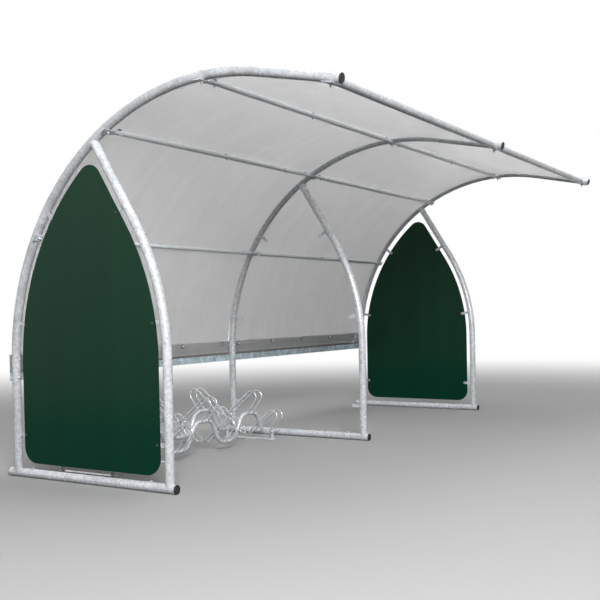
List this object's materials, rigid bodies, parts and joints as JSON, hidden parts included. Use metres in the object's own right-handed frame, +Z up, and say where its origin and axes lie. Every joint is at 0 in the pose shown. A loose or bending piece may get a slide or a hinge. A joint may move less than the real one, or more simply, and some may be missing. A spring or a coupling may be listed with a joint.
{
  "type": "bike shelter",
  "caption": "Curved tubular bike shelter with a frosted roof sheet, pointed green side panels and a double-sided bike rack.",
  "frame": {"origin": "on the ground, in the middle of the shelter's footprint", "axes": "+X along the shelter, +Y towards its back, +Z up; the open front faces -Y"},
  "size_m": [4.29, 2.2814, 2.1289],
  "materials": {
    "galvanised_steel": "hot-dip galvanised, matt",
    "rack_rod": "bright zinc",
    "black_cap": "matt",
    "green_panel": "satin",
    "roof_sheet": "frosted, translucent"
  },
  "bodies": {
    "root": {"base_tube_left": "galvanised_steel", "base_tube_middle": "galvanised_steel", "base_tube_right": "galvanised_steel", "arch_left": "galvanised_steel", "arch_middle": "galvanised_steel", "arch_right": "galvanised_steel", "front_post_left": "galvanised_steel", "front_post_middle": "galvanised_steel", "front_post_right": "galvanised_steel", "front_purlin_left": "galvanised_steel", "front_purlin_right": "galvanised_steel", "crown_purlin_left": "galvanised_steel", "crown_purlin_right": "galvanised_steel", "upper_purlin_left": "galvanised_steel", "upper_purlin_right": "galvanised_steel", "lower_purlin_left": "galvanised_steel", "lower_purlin_right": "galvanised_steel", "rear_rail_long": "galvanised_steel", "rear_rail_short": "galvanised_steel", "rack_wave_front": "galvanised_steel", "rack_wave_rear": "galvanised_steel", "rack_foot_left": "galvanised_steel", "rack_foot_middle": "galvanised_steel", "rack_foot_right": "galvanised_steel", "front_wheel_hoop_1": "rack_rod", "front_wheel_hoop_2": "rack_rod", "front_wheel_hoop_3": "rack_rod", "front_wheel_hoop_4": "rack_rod", "front_wheel_hoop_5": "rack_rod", "front_wheel_hoop_6": "rack_rod", "front_wheel_hoop_7": "rack_rod", "rear_wheel_hoop_1": "rack_rod", "rear_wheel_hoop_2": "rack_rod", "rear_wheel_hoop_3": "rack_rod", "rear_wheel_hoop_4": "rack_rod", "rear_wheel_hoop_5": "rack_rod", "rear_wheel_hoop_6": "rack_rod", "rear_wheel_hoop_7": "rack_rod", "roof_cap_left": "black_cap", "roof_cap_middle": "black_cap", "roof_cap_right": "black_cap", "base_front_cap_left": "black_cap", "base_front_cap_middle": "black_cap", "base_front_cap_right": "black_cap", "base_rear_cap_left": "black_cap", "base_rear_cap_middle": "black_cap", "base_rear_cap_right": "black_cap", "side_panel_left": "green_panel", "side_panel_right": "green_panel", "roof_sheet_left": "roof_sheet", "roof_sheet_right": "roof_sheet"}
  },
  "joints": []
}
